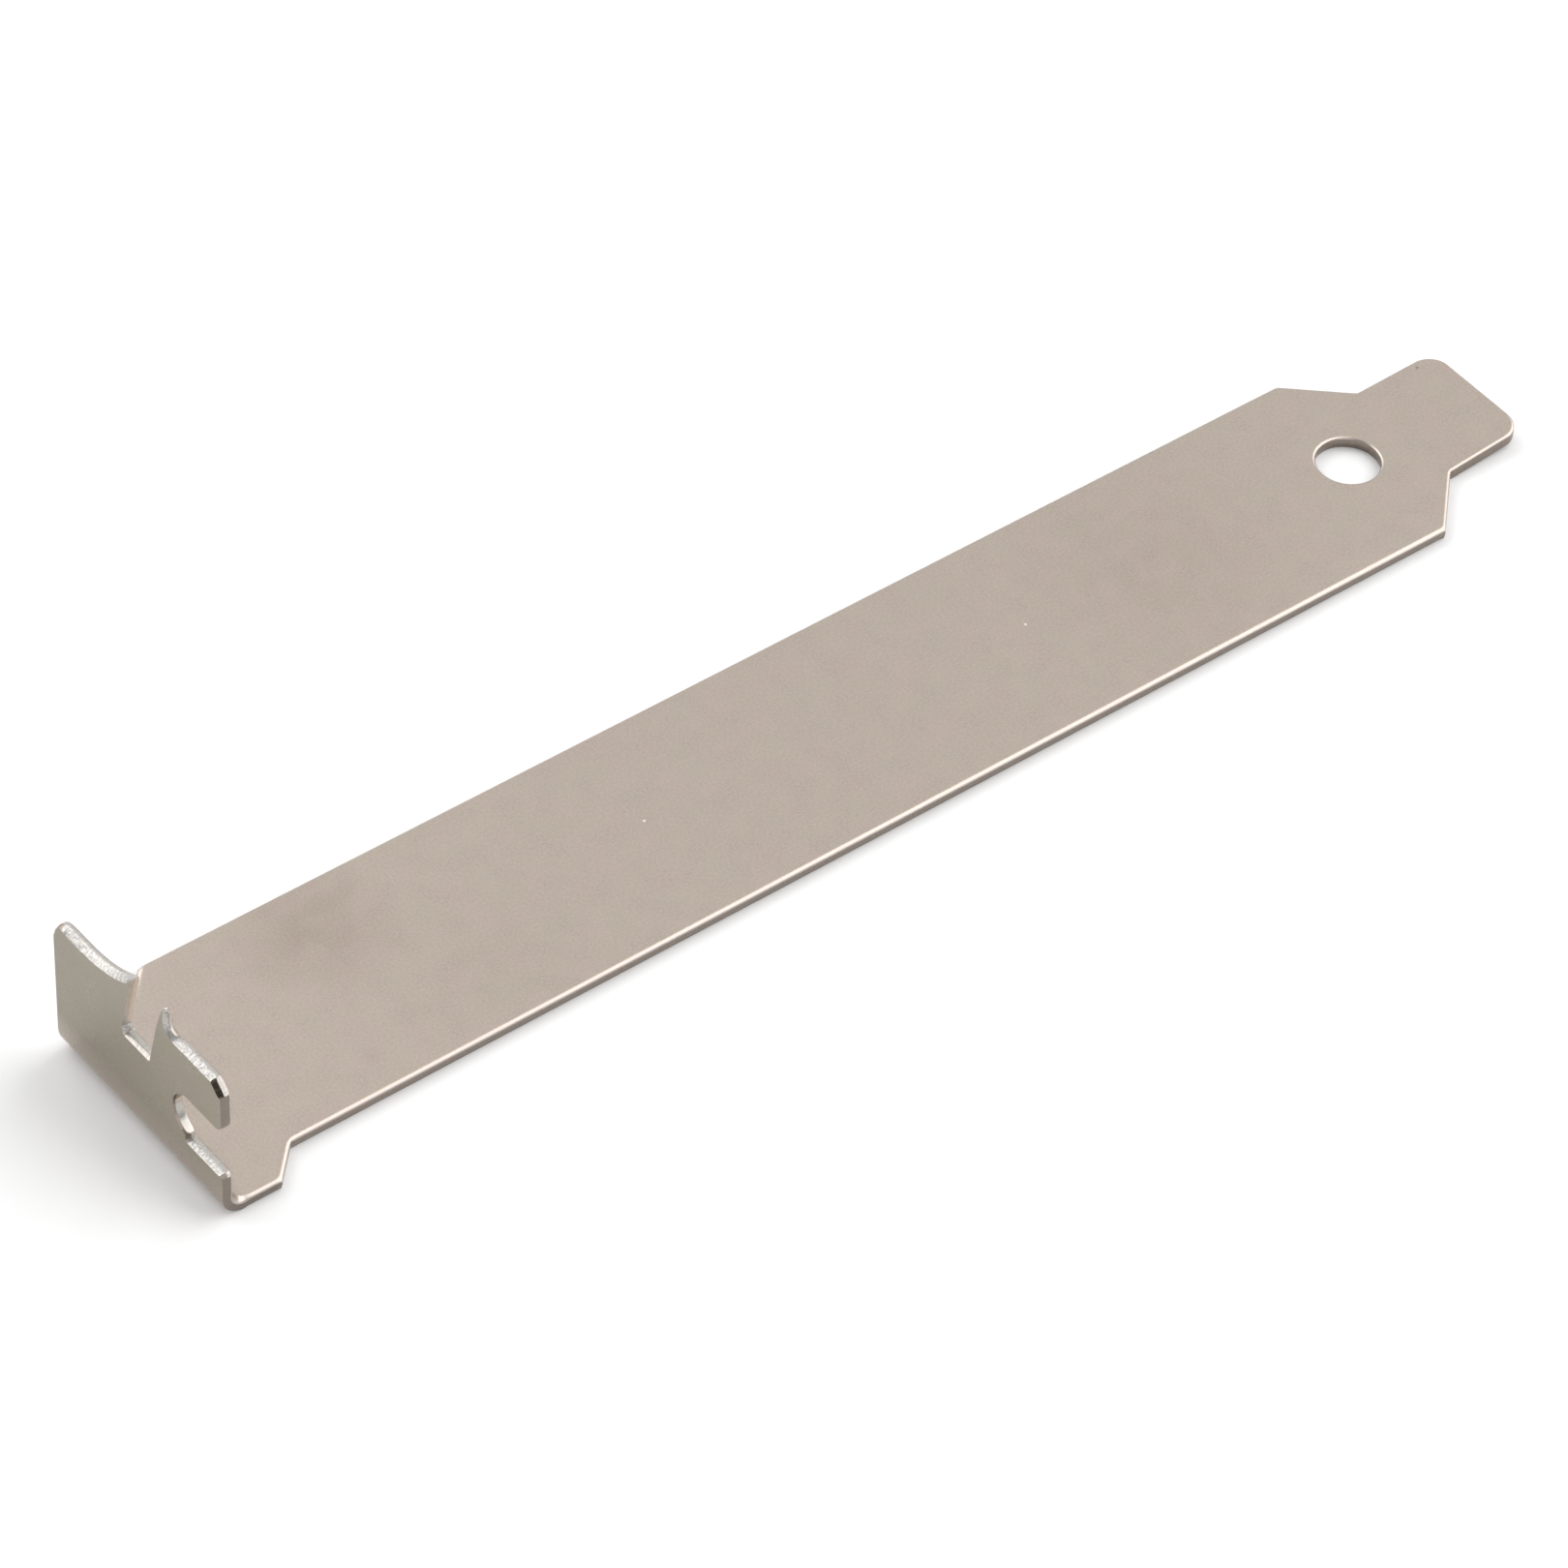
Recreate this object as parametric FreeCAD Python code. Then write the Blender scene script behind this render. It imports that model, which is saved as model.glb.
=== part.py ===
import FreeCAD, Part
import math
import os

from FreeCAD import Placement, Rotation, Vector

# Full-height expansion slot cover: one strip of sheet steel, punched, folded up at one end and nickel plated.
# It lies on its back. +X runs from the fixing tab to the tongue, +Y to the tab's cut-back side, +Z up.
# The origin is on the underside, on the strip's centreline, halfway along the overall length.
# All sizes are in millimetres and all angles in degrees.

# Sheet and fold
sheet_thickness = 0.9
fold_inside_radius = 1.0
fold_shortfall = 1.5          # the tab springs back this far from square, away from the strip

# Strip
overall_length = 120.0        # outside of the fold to the tip of the tongue
strip_width = 18.42

# Neck between the strip and the fold, which carries the tab towards the near side
tab_width = 18.6
near_overhang = 2.45          # the neck's near edge stands this far out past the strip's
near_neck_length = 4.7        # outside of the fold to the near edge's slanted step
far_neck_length = 5.65        # outside of the fold to the far edge's slanted step

# Shoulders and tongue
shoulder_length = 4.42
tongue_length = 7.2
tongue_width = 10.16
tongue_tip_width = 9.86
tongue_corner_radius = 1.7
tongue_rise = 3.5             # the tongue is set upwards by this angle
tongue_bend_radius = 3.0
tongue_offset = 0.26          # tongue and hole lie this far to the far side of the centreline

# Hole beside the tongue
end_hole_diameter = 4.8
end_hole_from_tip = 12.57

# Tab: a rise is a height up the tab from the strip's upper face
tab_rise = 11.7               # flat top over the screw slot
ear_drop = 0.2                # the far ear's top is this much lower
ear_corner_radius = 1.3
ear_length = 3.3              # far edge to where the ear's top starts to sweep up
horn_climb = 1.85             # the sweep's point is this far above the ear's top

# Notch beside the screw slot; both walls lean to the near side
notch_depth = 4.33            # floor below the tab's flat top
notch_floor_width = 2.8
notch_from_edge = 7.97        # near edge of the tab to the near end of the floor
notch_lean = 12.5
notch_corner_cut = 0.6        # height of the small slant at the floor's far end

# Hook that overhangs the screw slot
hook_curve_drop = 1.2         # the notch's near wall starts to curve this far below the tab's flat top
hook_tip_climb = 2.05         # the hook's tip is this far above the tab's flat top
hook_tip_width = 0.3
hook_back_from_notch = 1.91   # near end of the notch's floor to the hook's upright back
hook_root_radius = 0.95
hook_corner_cut = 0.95
hook_nose_radius = 0.7

# Screw slot, open to the near side: a round end, and a square mouth that is cut a little lower
slot_centre_rise = 5.27
slot_width = 4.3
slot_depth = 5.38             # near edge of the tab to the bottom of the round end
slot_end_radius = 1.92
slot_mouth_depth = 4.03       # near edge of the tab to the end of the square mouth
lip_corner_cut = 0.25

# Places worked out from the sizes
fold_outside_radius = fold_inside_radius + sheet_thickness
fold_x = -overall_length / 2
tip_x = overall_length / 2
tongue_root_x = tip_x - tongue_length
shoulder_x = tongue_root_x - shoulder_length
near_strip_y = -strip_width / 2
far_strip_y = strip_width / 2
near_tab_y = near_strip_y - near_overhang
far_tab_y = near_tab_y + tab_width
ear_rise = tab_rise - ear_drop
notch_floor_rise = tab_rise - notch_depth
notch_near_y = near_tab_y + notch_from_edge
notch_far_y = notch_near_y + notch_floor_width
notch_slope = math.tan(math.radians(notch_lean))
hook_tip_rise = tab_rise + hook_tip_climb
margin = fold_outside_radius + sheet_thickness


def side_view(x, z):
    """Point in the side view, on the plane y = 0."""
    return Vector(x, 0, z)


def plan_view(x, y):
    """Point in the plan, on the plane z = 0."""
    return Vector(x, y, 0)


def tab_view(y, rise):
    """Point in the square-on view of the tab, before the tab is leaned."""
    return Vector(0, y, sheet_thickness + rise)


def line(start, end):
    """Straight edge between two points."""
    return Part.LineSegment(start, end).toShape()


def run(points):
    """Straight edges from each point to the next."""
    return [line(start, end) for start, end in zip(points, points[1:])]


def arc(view, centre, radius, start_angle, end_angle):
    """Edge round part of a circle in one of the views."""
    points = []
    for angle in (start_angle, (start_angle + end_angle) / 2, end_angle):
        turn = math.radians(angle)
        points.append(view(centre[0] + radius * math.cos(turn), centre[1] + radius * math.sin(turn)))
    return Part.Arc(*points).toShape()


def start_of(edge):
    """First point of an edge."""
    return edge.Vertexes[0].Point


def end_of(edge):
    """Last point of an edge."""
    return edge.Vertexes[-1].Point


def face_inside(edges):
    """Flat face inside a closed outline."""
    return Part.Face(Part.Wire(Part.sortEdges(edges)[0]))


def skin(depth):
    """Side view of the sheet at a depth in from its outside, from above the tab to past the tongue."""
    lean = math.radians(fold_shortfall)
    rise = math.radians(tongue_rise)
    fold_centre = (fold_x + fold_outside_radius, fold_outside_radius)
    bend_outside_radius = tongue_bend_radius + sheet_thickness
    bend_centre = (tongue_root_x, bend_outside_radius)
    fold = arc(side_view, fold_centre, fold_outside_radius - depth, 180 + fold_shortfall, 270)
    bend = arc(side_view, bend_centre, bend_outside_radius - depth, 270, 270 + tongue_rise)
    tab_top = start_of(fold) + side_view(-math.sin(lean), math.cos(lean)) * (hook_tip_rise + margin)
    tongue_end = end_of(bend) + side_view(math.cos(rise), math.sin(rise)) * (tongue_length + margin)
    return run([tab_top, start_of(fold)]) + [fold, line(end_of(fold), start_of(bend)), bend] + run(
        [end_of(bend), tongue_end])


def folded_band():
    """The folded sheet before it is trimmed to its outlines, too wide, too tall and too long."""
    outside = skin(0)
    inside = skin(sheet_thickness)
    top = line(start_of(outside[0]), start_of(inside[0]))
    tip = line(end_of(outside[-1]), end_of(inside[-1]))
    section = face_inside(outside + inside + [top, tip])
    reach = strip_width + tab_width
    section.translate(Vector(0, -reach, 0))
    return section.extrude(Vector(0, 2 * reach, 0))


def tongue_corner(side):
    """Rounded corner of the tongue's tip, on the near side for -1 and on the far side for 1."""
    taper = math.atan2((tongue_width - tongue_tip_width) / 2, tongue_length)
    radius = tongue_corner_radius
    half_width = tongue_tip_width / 2 + radius * math.tan(taper) - radius / math.cos(taper)
    centre = (tip_x - radius, tongue_offset + side * half_width)
    return arc(plan_view, centre, radius, side * (90 - math.degrees(taper)), 0)


def plan_outline():
    """Outline of the neck, strip, shoulders and tongue seen from above; it is left open past the fold."""
    near_corner = tongue_corner(-1)
    far_corner = tongue_corner(1)
    past_fold_x = fold_x - margin
    near_step_x = fold_x + near_neck_length
    far_step_x = fold_x + far_neck_length
    far_setback = far_strip_y - far_tab_y
    near_side = [
        plan_view(past_fold_x, near_tab_y),
        plan_view(near_step_x, near_tab_y),
        plan_view(near_step_x + near_overhang, near_strip_y),
        plan_view(shoulder_x, near_strip_y),
        plan_view(tongue_root_x, tongue_offset - tongue_width / 2),
        start_of(near_corner),
    ]
    far_side = [
        start_of(far_corner),
        plan_view(tongue_root_x, tongue_offset + tongue_width / 2),
        plan_view(shoulder_x, far_strip_y),
        plan_view(far_step_x + abs(far_setback), far_strip_y),
        plan_view(far_step_x, far_tab_y),
        plan_view(past_fold_x, far_tab_y),
    ]
    tip = line(end_of(near_corner), end_of(far_corner))
    return face_inside(run(near_side) + [near_corner, tip, far_corner] + run(far_side + near_side[:1]))


def end_hole():
    """Punch for the round hole beside the tongue."""
    foot = Vector(tip_x - end_hole_from_tip, tongue_offset, -margin)
    return Part.makeCylinder(end_hole_diameter / 2, sheet_thickness + 2 * margin, foot)


def ear_and_horn():
    """Rounded far ear and the concave sweep from its flat top up to the horn beside the notch."""
    corner_centre = (far_tab_y - ear_corner_radius, ear_rise - ear_corner_radius)
    corner = arc(tab_view, corner_centre, ear_corner_radius, 0, 90)
    sweep_y = far_tab_y - ear_length
    horn_y = notch_far_y + notch_corner_cut / 2 - (horn_climb + ear_rise - notch_floor_rise) * notch_slope
    sweep_width = sweep_y - horn_y
    sweep_radius = (sweep_width ** 2 + horn_climb ** 2) / (2 * horn_climb)
    sweep_turn = 2 * math.degrees(math.atan2(horn_climb, sweep_width))
    sweep = arc(tab_view, (sweep_y, ear_rise + sweep_radius), sweep_radius, 270, 270 - sweep_turn)
    return [corner, line(end_of(corner), start_of(sweep)), sweep]


def hook():
    """Near wall of the notch curving into the hook's blunt tip, and the hook's back down to the flat top."""
    back_y = notch_near_y - hook_back_from_notch
    shoulder_rise = hook_tip_rise - hook_tip_width / 2
    tip_points = [
        tab_view(back_y + hook_tip_width, shoulder_rise),
        tab_view(back_y + hook_tip_width / 2, hook_tip_rise),
        tab_view(back_y, shoulder_rise),
    ]
    tip = Part.Arc(*tip_points).toShape()
    curve_rise = tab_rise - hook_curve_drop
    curve_start = tab_view(notch_near_y - (curve_rise - notch_floor_rise) * notch_slope, curve_rise)
    chord = start_of(tip) - curve_start
    turn = math.atan2(-chord.y, chord.z) - math.radians(notch_lean)
    swell = Vector(0, chord.z, -chord.y) * (math.tan(turn / 2) / 2)
    curve = Part.Arc(curve_start, curve_start + chord * 0.5 + swell, start_of(tip)).toShape()
    root_centre = (back_y - hook_root_radius, tab_rise + hook_root_radius)
    root = arc(tab_view, root_centre, hook_root_radius, 0, -90)
    return [curve, tip, line(end_of(tip), start_of(root)), root]


def tab_outline():
    """Tab seen square on, from below the fold to its shaped top edge, without the screw slot."""
    ear = ear_and_horn()
    claw = hook()
    slant_y = notch_far_y + notch_corner_cut / 2 - notch_corner_cut * notch_slope
    notch = [
        end_of(ear[-1]),
        tab_view(slant_y, notch_floor_rise + notch_corner_cut),
        tab_view(notch_far_y, notch_floor_rise),
        tab_view(notch_near_y, notch_floor_rise),
        start_of(claw[0]),
    ]
    near_side = [
        end_of(claw[-1]),
        tab_view(near_tab_y + hook_corner_cut, tab_rise),
        tab_view(near_tab_y, tab_rise - hook_corner_cut),
        tab_view(near_tab_y, -margin),
        tab_view(far_tab_y, -margin),
        start_of(ear[0]),
    ]
    return face_inside(ear + run(notch) + claw + run(near_side))


def screw_slot():
    """Punch for the open screw slot, with the hook's rounded nose and the lip's cut corner at its mouth."""
    top_rise = slot_centre_rise + slot_width / 2
    low_rise = slot_centre_rise - slot_width / 2
    mouth_end_y = near_tab_y + slot_mouth_depth
    outside_y = near_tab_y - margin
    nose_centre = (near_tab_y + hook_nose_radius, top_rise + hook_nose_radius)
    nose = arc(tab_view, nose_centre, hook_nose_radius, 180, 270)
    end_centre = (near_tab_y + slot_depth - slot_end_radius, top_rise - slot_end_radius)
    low_turn = math.degrees(math.acos((mouth_end_y - end_centre[0]) / slot_end_radius))
    round_end = arc(tab_view, end_centre, slot_end_radius, 90, -low_turn)
    mouth_sides = [
        end_of(round_end),
        tab_view(mouth_end_y, low_rise),
        tab_view(near_tab_y + lip_corner_cut, low_rise),
        tab_view(near_tab_y, low_rise - lip_corner_cut),
        tab_view(outside_y, low_rise - lip_corner_cut),
        tab_view(outside_y, top_rise + hook_nose_radius),
        start_of(nose),
    ]
    return face_inside([nose, line(end_of(nose), start_of(round_end)), round_end] + run(mouth_sides))


def leaned_cutter(face):
    """A face in the tab's view made into a cutter that goes square through the leaning tab."""
    face.translate(Vector(-margin, 0, 0))
    cutter = face.extrude(Vector(2 * margin, 0, 0))
    lean = math.radians(fold_shortfall)
    foot_x = fold_x + fold_outside_radius * (1 - math.cos(lean) + (1 - math.sin(lean)) * math.tan(lean))
    cutter.Placement = Placement(Vector(foot_x, 0, 0), Rotation(Vector(0, 1, 0), -fold_shortfall))
    return cutter


def tab_waste():
    """All that is punched away round the tab's outline, down to the top of the fold."""
    reach = strip_width + tab_width
    corners = [
        tab_view(-reach, fold_inside_radius),
        tab_view(reach, fold_inside_radius),
        tab_view(reach, hook_tip_rise + 2 * margin),
        tab_view(-reach, hook_tip_rise + 2 * margin),
    ]
    blank = face_inside(run(corners + corners[:1]))
    return leaned_cutter(blank.cut(tab_outline()))


def slot_cover():
    """The whole cover: the folded band trimmed in plan, then punched to the tab's outline, slot and hole."""
    plan = plan_outline()
    plan.translate(Vector(0, 0, -margin))
    trimmed = folded_band().common(plan.extrude(Vector(0, 0, hook_tip_rise + 3 * margin)))
    punches = [tab_waste(), leaned_cutter(screw_slot()), end_hole()]
    return trimmed.cut(Part.makeCompound(punches)).removeSplitter()


cover = slot_cover()
os.makedirs("parts", exist_ok=True)
cover.exportStep("parts/slot_cover.step")
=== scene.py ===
import math

import bpy
import numpy as np
from mathutils import Matrix, Vector
from mathutils.geometry import delaunay_2d_cdt


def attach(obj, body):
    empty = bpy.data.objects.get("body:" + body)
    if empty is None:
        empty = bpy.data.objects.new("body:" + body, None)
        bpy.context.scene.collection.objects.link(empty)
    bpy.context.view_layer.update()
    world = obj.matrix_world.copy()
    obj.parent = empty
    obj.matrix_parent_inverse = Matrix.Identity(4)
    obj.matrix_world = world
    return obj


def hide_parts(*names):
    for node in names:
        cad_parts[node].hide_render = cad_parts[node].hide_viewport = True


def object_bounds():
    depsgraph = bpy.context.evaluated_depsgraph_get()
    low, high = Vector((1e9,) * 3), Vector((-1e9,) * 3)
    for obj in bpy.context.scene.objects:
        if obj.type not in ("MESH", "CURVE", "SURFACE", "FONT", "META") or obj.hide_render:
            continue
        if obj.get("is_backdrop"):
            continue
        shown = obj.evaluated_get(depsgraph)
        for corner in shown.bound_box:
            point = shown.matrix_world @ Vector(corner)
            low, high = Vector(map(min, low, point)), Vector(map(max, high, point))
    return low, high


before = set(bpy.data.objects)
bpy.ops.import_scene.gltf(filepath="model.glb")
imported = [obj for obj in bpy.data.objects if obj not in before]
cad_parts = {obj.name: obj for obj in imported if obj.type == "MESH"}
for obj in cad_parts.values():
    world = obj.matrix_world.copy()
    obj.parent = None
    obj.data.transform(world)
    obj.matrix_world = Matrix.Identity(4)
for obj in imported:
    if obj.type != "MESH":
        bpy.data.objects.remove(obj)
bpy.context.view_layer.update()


# The blank: one flat piece of 0.9 mm rolled steel, punched to its outline, with its tab not yet folded up.
# Its outline is laid out flat here, in millimetres. "along" runs from the tab's top edge (below zero) past
# the fold (zero is the fold's end) to the tongue, and "across" from the near side to the far side.
sheet = 0.9
overall_length, strip_width = 120.0, 18.42
tip_x = overall_length / 2
fold_inside = 1.0
fold_outside = fold_inside + sheet
tab_lean = math.radians(1.5)
fold_turn = math.radians(90) - tab_lean
neutral_share = 0.4
fold_neutral = fold_inside + neutral_share * sheet
fold_run = fold_neutral * fold_turn
fold_end_x = fold_outside - tip_x
tab_foot = fold_outside * (1 - math.sin(tab_lean)) / math.cos(tab_lean)
tongue_length = 7.2
root_x = tip_x - tongue_length
tongue_root = root_x - fold_end_x
tongue_turn = math.radians(3.5)


def on_tab(across, rise):
    """A place on the tab, given by its height above the strip's upper face."""
    return -(fold_run + sheet + rise - tab_foot), across


def on_strip(x, across):
    """A place on the neck, strip or tongue, given by its place in the plan."""
    past_root = max(0.0, x - fold_end_x - tongue_root)
    return x - fold_end_x + past_root * (1 / math.cos(tongue_turn) - 1), across


first_gap, gap_growth, least_gap = 0.035, 1.35, 0.02


def straight(start, end, widest):
    """Points from a corner up to the next one, set close together near both corners."""
    start, end = np.array(start), np.array(end)
    length = float(np.linalg.norm(end - start))
    gap, reached, stops = first_gap, 0.0, []
    while reached < length / 2:
        stops.append(reached)
        reached += gap
        gap = min(gap * gap_growth, widest)
    middle = [length / 2] if length / 2 - stops[-1] > least_gap else []
    stops = stops + middle + [length - stop for stop in stops[:0:-1]]
    return [tuple(start + (end - start) * (stop / length)) for stop in stops]


bow_gap, least_bow_steps = 0.09, 8


def bow(place, centre, radius, start_angle, end_angle):
    """Points round part of a circle in the tab's or the plan's view, up to its end."""
    turn = math.radians(end_angle - start_angle)
    count = max(least_bow_steps, math.ceil(abs(turn) * radius / bow_gap))
    angles = [math.radians(start_angle) + turn * step / count for step in range(count)]
    x, y = centre
    return [place(x + radius * math.cos(angle), y + radius * math.sin(angle)) for angle in angles]


def bow_through(start, middle, end):
    """Points round the circle through three places, up to the last."""
    (ax, ay), (bx, by), (cx, cy) = start, middle, end
    twice = 2 * (ax * (by - cy) + bx * (cy - ay) + cx * (ay - by))
    sums = [x * x + y * y for x, y in (start, middle, end)]
    centre_x = (sums[0] * (by - cy) + sums[1] * (cy - ay) + sums[2] * (ay - by)) / twice
    centre_y = (sums[0] * (cx - bx) + sums[1] * (ax - cx) + sums[2] * (bx - ax)) / twice
    radius = math.hypot(ax - centre_x, ay - centre_y)
    first, last = math.atan2(ay - centre_y, ax - centre_x), math.atan2(cy - centre_y, cx - centre_x)
    turn = (last - first + math.pi) % (2 * math.pi) - math.pi
    count = max(least_bow_steps, math.ceil(abs(turn) * radius / bow_gap))
    angles = [first + turn * step / count for step in range(count)]
    return [(centre_x + radius * math.cos(angle), centre_y + radius * math.sin(angle)) for angle in angles]


# the finishes, in the order of their materials; the three darker ones are painted shade
finishes_and_shades = ["skin", "bright", "shaded", "pale", "deep_shaded", "black_shaded"]
outline, shorn_ends, tear_backs, roll_shares, sheared_finishes_and_shades, torn_finishes_and_shades = [], [], [], [], [], []


def cut(points, shorn_end, tear_back, sheared="shaded", torn="shaded", roll_share=1.0):
    """Adds a run of the cut edge, with how it came out.

    The punch shears the metal smooth down to a depth, and the metal below that tears back by an amount. Both
    bands have a finish; the darker finishes are painted shade, picked by which way the band faces. The roll
    share says how heavy the rolled rim above them is.
    """
    outline.extend(points)
    shorn_ends.extend([shorn_end] * len(points))
    tear_backs.extend([tear_back] * len(points))
    roll_shares.extend([roll_share] * len(points))
    sheared_finishes_and_shades.extend([finishes_and_shades.index(sheared)] * len(points))
    torn_finishes_and_shades.extend([finishes_and_shades.index(torn)] * len(points))


near_edge, far_edge = -strip_width / 2, strip_width / 2
tab_overhang, tab_width = 2.45, 18.6
tab_near = near_edge - tab_overhang
tab_far = tab_near + tab_width
strip_gap, tab_gap = 1.0, 0.14
fold_steps = 18

# near side: lip, fold, neck, strip, shoulder and tongue
lip_top, lip_cut = 3.2, 0.25
lip_corner = on_tab(tab_near, lip_top - lip_cut)
near_fold = [(-fold_run * (1 - step / fold_steps), tab_near) for step in range(fold_steps)]
# painted shade: the near side's walls take the darker finishes, for the shade on that side
cut(straight(lip_corner, (-fold_run, tab_near), tab_gap), 0.5, 0.04, "deep_shaded", "deep_shaded", 1.3)
cut(near_fold, 0.5, 0.06, "deep_shaded", "deep_shaded", 1.7)
tongue_offset, root_half, tip_narrowing, tip_radius = 0.26, 5.08, 0.15, 1.7
tip_half_width = root_half - tip_narrowing
tip_taper = math.atan2(tip_narrowing, tongue_length)
tip_half = tip_half_width + tip_radius * math.tan(tip_taper) - tip_radius / math.cos(tip_taper)
tip_centre_x = tip_x - tip_radius
near_tip_centre = (tip_centre_x, tongue_offset - tip_half)
far_tip_centre = (tip_centre_x, tongue_offset + tip_half)
near_tip = bow(on_strip, near_tip_centre, tip_radius, -90 + math.degrees(tip_taper), 0)
near_neck_x, near_step_x, shoulder_x = -55.3, -52.85, 48.38
near_corners = [(0.0, tab_near), on_strip(near_neck_x, tab_near), on_strip(near_step_x, near_edge),
                on_strip(shoulder_x, near_edge), on_strip(root_x, tongue_offset - root_half), near_tip[0]]
# painted shade: the darker finishes on these runs stand in for shade
near_runs = [(0.12, "deep_shaded", 1.0), (0.12, "shaded", 1.0), (0.12, "shaded", 1.0),
             (0.03, "shaded", 0.75), (0.02, "shaded", 0.6)]
for start, end, (tear, finish_and_shade, heaviness) in zip(near_corners, near_corners[1:], near_runs):
    cut(straight(start, end, strip_gap), 0.45, tear, finish_and_shade, finish_and_shade, heaviness)
cut(near_tip, 0.45, 0.02, roll_share=0.6)

# the tip, then the far side back to the tab
far_tip = bow(on_strip, far_tip_centre, tip_radius, 0, 90 - math.degrees(tip_taper))
tip_ends = on_strip(tip_x, tongue_offset - tip_half), on_strip(tip_x, tongue_offset + tip_half)
cut(straight(*tip_ends, strip_gap), 0.45, 0.02, roll_share=0.4)
cut(far_tip, 0.45, 0.02, roll_share=0.35)
tip_side = tip_half + tip_radius * math.cos(tip_taper)
far_step_x, far_neck_x = -52.08, -54.35
far_corners = [on_strip(tip_centre_x + tip_radius * math.sin(tip_taper), tongue_offset + tip_side),
               on_strip(root_x, tongue_offset + root_half), on_strip(shoulder_x, far_edge),
               on_strip(far_step_x, far_edge), on_strip(far_neck_x, tab_far), (0.0, tab_far)]
for start, end in zip(far_corners, far_corners[1:]):
    slanting = end[1] < start[1] - 1
    cut(straight(start, end, strip_gap), 0.45, 0.08, roll_share=1.2 if slanting else 0.35)
cut([(-fold_run * step / fold_steps, tab_far) for step in range(fold_steps)], 0.5, 0.04)

# the ear, its sweep up to the horn, and the notch
ear_top, ear_round, horn_climb = 11.5, 1.3, 1.85
notch_lean = math.radians(12.5)
notch_slope = math.tan(notch_lean)
notch_floor, notch_inset, notch_width = 7.37, 7.97, 2.8
notch_near = tab_near + notch_inset
notch_far = notch_near + notch_width
corner_out, corner_up = 0.3, 0.6
horn = (notch_far + corner_out - (ear_top + horn_climb - notch_floor) * notch_slope, ear_top + horn_climb)
ear_width = 3.3
sweep_start = tab_far - ear_width
sweep_width = sweep_start - horn[0]
sweep_radius = (sweep_width ** 2 + horn_climb ** 2) / (2 * horn_climb)
sweep_turn = 2 * math.degrees(math.atan2(horn_climb, sweep_width))
cut(straight((-fold_run, tab_far), on_tab(tab_far, ear_top - ear_round), tab_gap), 0.5, 0.0)
ear_bow = bow(on_tab, (tab_far - ear_round, ear_top - ear_round), ear_round, 0, 90)
ear_flat = straight(on_tab(tab_far - ear_round, ear_top), on_tab(sweep_start, ear_top), tab_gap)
sweep = bow(on_tab, (sweep_start, ear_top + sweep_radius), sweep_radius, 270, 270 - sweep_turn)
torn_stops = 5
cut(ear_bow[:-torn_stops], 0.5, 0.14, "bright")
cut(ear_bow[-torn_stops:], 0.42, 0.28, "bright", "pale")
cut(ear_flat, 0.42, 0.38, "bright", "pale")
cut(sweep, 0.42, 0.33, "bright", "pale")
curve_rise = 10.5
curve_start = (notch_near - (curve_rise - notch_floor) * notch_slope, curve_rise)
notch_corners = [horn, (notch_far + corner_out - corner_up * notch_slope, notch_floor + corner_up),
                 (notch_far, notch_floor), (notch_near, notch_floor), curve_start]
notch_runs = [(0.05, "bright"), (0.1, "pale"), (0.14, "bright"), (0.05, "bright")]
for start, end, (tear, finish_and_shade) in zip(notch_corners, notch_corners[1:], notch_runs):
    cut(straight(on_tab(*start), on_tab(*end), tab_gap), 0.55, tear, finish_and_shade, finish_and_shade)

# the hook, the flat top and its cut corner
tab_top, tip_rise, tip_width, hook_width = 11.7, 13.75, 0.3, 1.91
hook_back = notch_near - hook_width
tip_middle = (hook_back + tip_width / 2, tip_rise - tip_width / 2)
tip_start = (hook_back + tip_width, tip_rise - tip_width / 2)
chord = np.subtract(tip_start, curve_start)
bend = math.atan2(-chord[0], chord[1]) - notch_lean
middle = curve_start + chord / 2 + np.array((chord[1], -chord[0])) * math.tan(bend / 2) / 2
cut([on_tab(*point) for point in bow_through(curve_start, tuple(middle), tip_start)], 0.55, 0.05)
cut(bow(on_tab, tip_middle, tip_width / 2, 0, 180), 0.5, 0.2, "bright", "pale", 4.2)
root_radius, corner_cut = 0.95, 0.95
root_top, root_foot = on_tab(hook_back, tab_top + root_radius), on_tab(hook_back - root_radius, tab_top)
root_bow = bow(on_tab, (hook_back - root_radius, tab_top + root_radius), root_radius, 0, -90)
# painted shade: the hook's root takes the darker sheared finish
cut(straight(on_tab(hook_back, tip_rise - tip_width / 2), root_top, tab_gap), 0.4, 0.2, "shaded", "pale", 2.2)
cut(root_bow, 0.36, 0.24, "shaded", "pale", 3.4)
nose, slot_top = 0.7, 7.42
corner_top, corner_foot = on_tab(tab_near + corner_cut, tab_top), on_tab(tab_near, tab_top - corner_cut)
cut(straight(root_foot, corner_top, tab_gap), 0.42, 0.24, "bright", "pale")
# painted shade: the torn band at the cut corner is made near black, and the near walls from there down take
# the darkest sheared finish
cut(straight(corner_top, corner_foot, tab_gap), 0.55, 0.28, "bright", "black_shaded")
cut(straight(corner_foot, on_tab(tab_near, slot_top + nose), tab_gap), 0.55, 0.04, "deep_shaded", "deep_shaded")

# the hook's rounded nose and the open screw slot, back to the lip
end_radius, slot_depth, mouth_end = 1.92, 5.38, 4.03
end_centre = (tab_near + slot_depth - end_radius, slot_top - end_radius)
low_turn = math.degrees(math.acos((tab_near + mouth_end - end_centre[0]) / end_radius))
mouth_low = end_centre[1] - end_radius * math.sin(math.radians(low_turn))
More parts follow.
